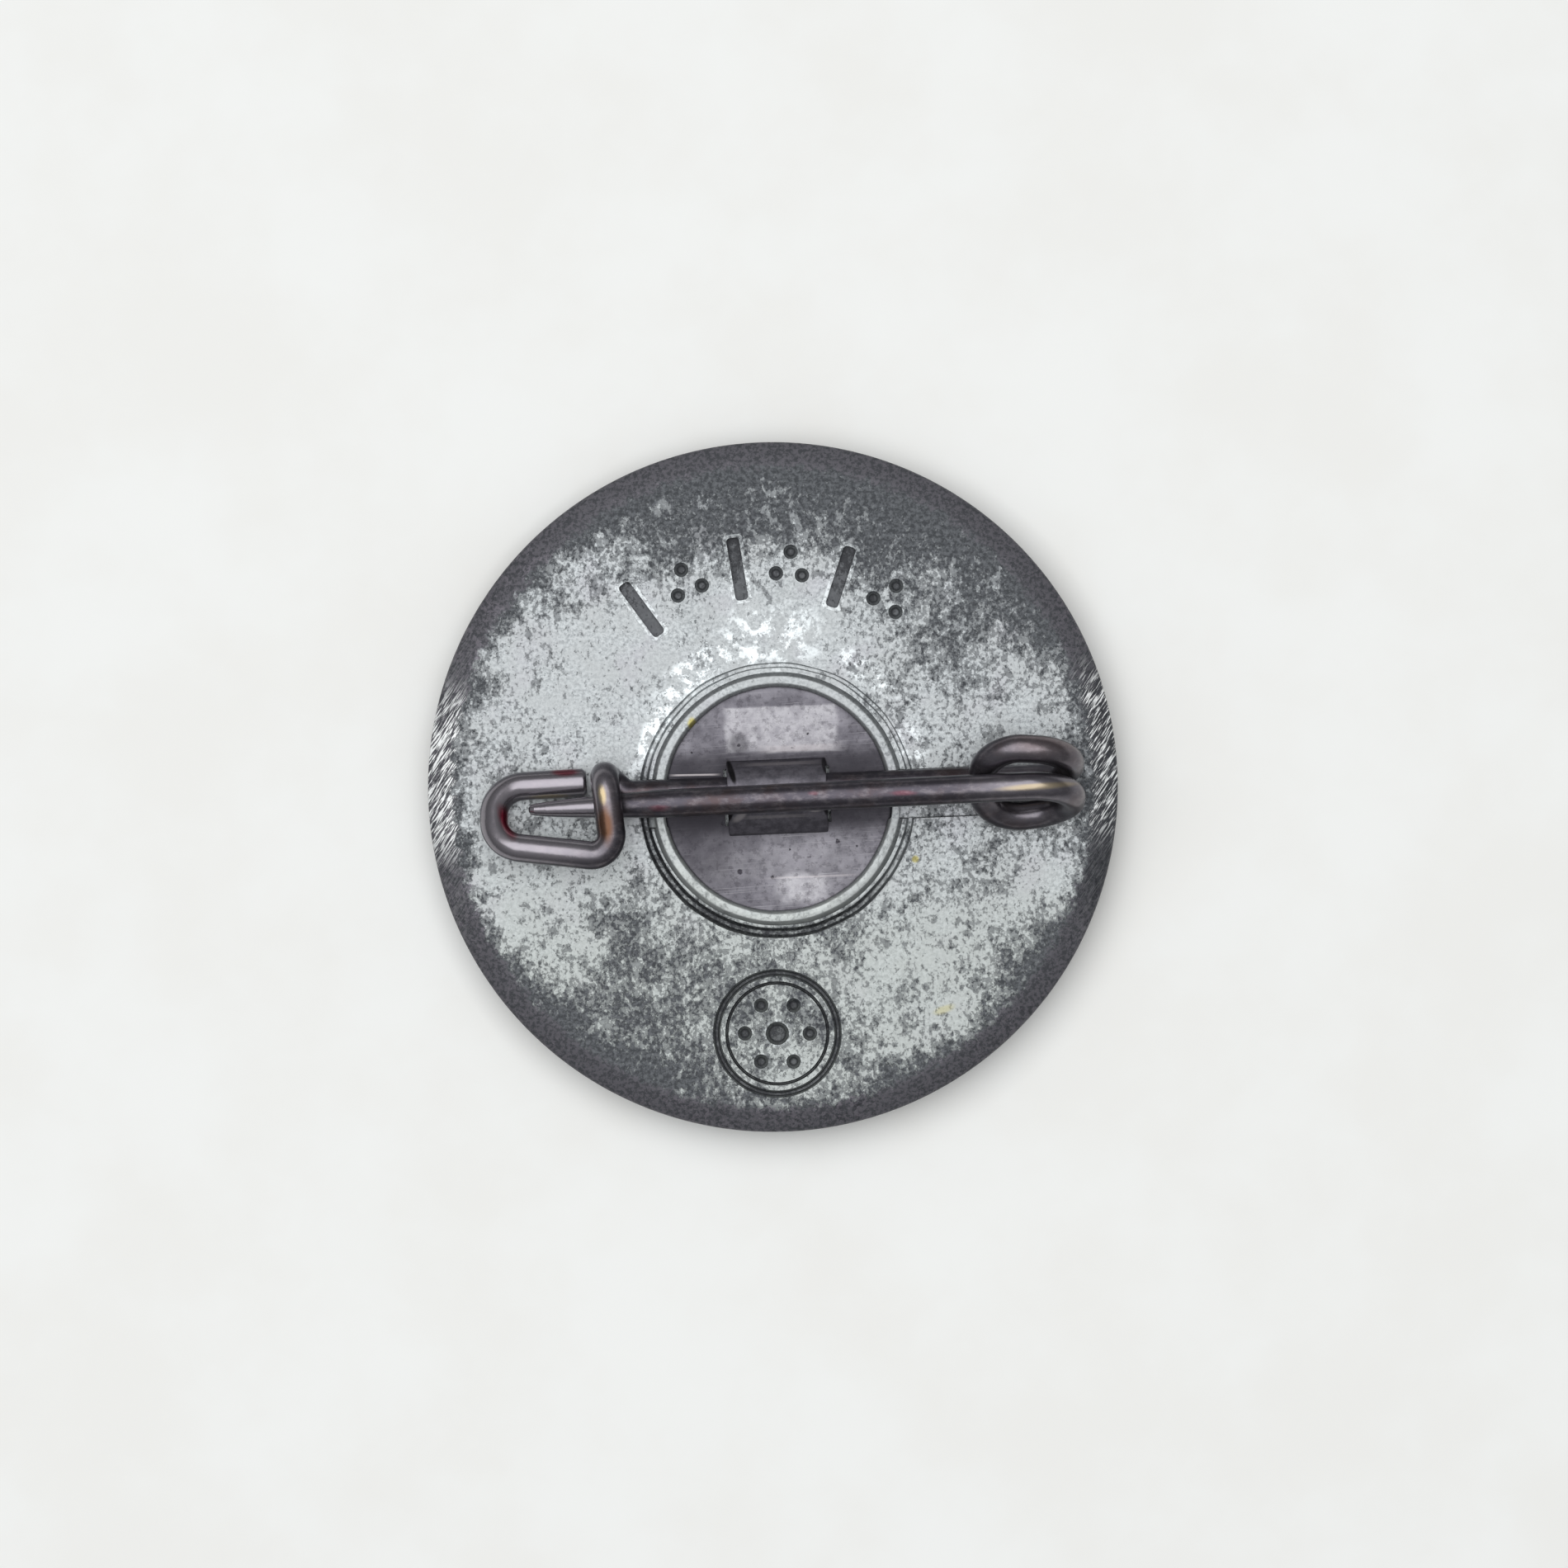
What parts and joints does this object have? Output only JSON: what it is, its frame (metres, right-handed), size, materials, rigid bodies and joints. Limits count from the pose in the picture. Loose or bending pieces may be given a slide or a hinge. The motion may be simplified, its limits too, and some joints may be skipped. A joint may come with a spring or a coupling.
{
  "type": "lapel badge",
  "caption": "Round lapel badge with a lacquered front, a pin plate crimped in its back and a bent-wire catch whose needle springs clear of a hook.",
  "frame": {"origin": "middle of the disc, on the plane of the front border that the badge rests on", "axes": "+Z out of the badge's back, +X along the needle from its point to the coil (within a few degrees), +Y towards the punched row"},
  "size_m": [0.023, 0.023, 0.0057],
  "materials": {
    "zinc": "struck zinc with a mottled grey patina and filed edge",
    "lacquer": "clear crimson lacquer, glossy",
    "plate": "dull grey plated sheet, burnished in patches",
    "wire": "dark tarnished spring wire with worn bright streaks"
  },
  "bodies": {
    "badge": {"zinc_disc": "zinc", "outer_lacquer": "lacquer", "inner_lacquer": "lacquer", "pin_plate": "plate", "guard_loop": "wire", "catch_hook": "wire", "base_wire": "wire", "spring_coil": "wire"},
    "needle_stub": {"needle_root": "wire"},
    "needle": {"needle": "wire"}
  },
  "joints": [
    {"name": "needle_roll", "type": "hinge", "parent": "badge", "child": "needle_stub", "pos_m": [0.00835, 0.00003, 0.00523], "axis": [-0.9902, -0.0475, -0.1315], "range_deg": [0, 100]},
    {"name": "needle_swing", "type": "hinge", "parent": "needle_stub", "child": "needle", "pos_m": [0.00756, -0.00001, 0.00513], "axis": [-0.107, -0.3475, 0.9315], "range_deg": [0, 50], "stiffness_Nm_per_rad": 0.002}
  ],
  "couplings": [
    {"joint": "needle_roll", "follows": "needle_swing", "ratio": 2}
  ]
}
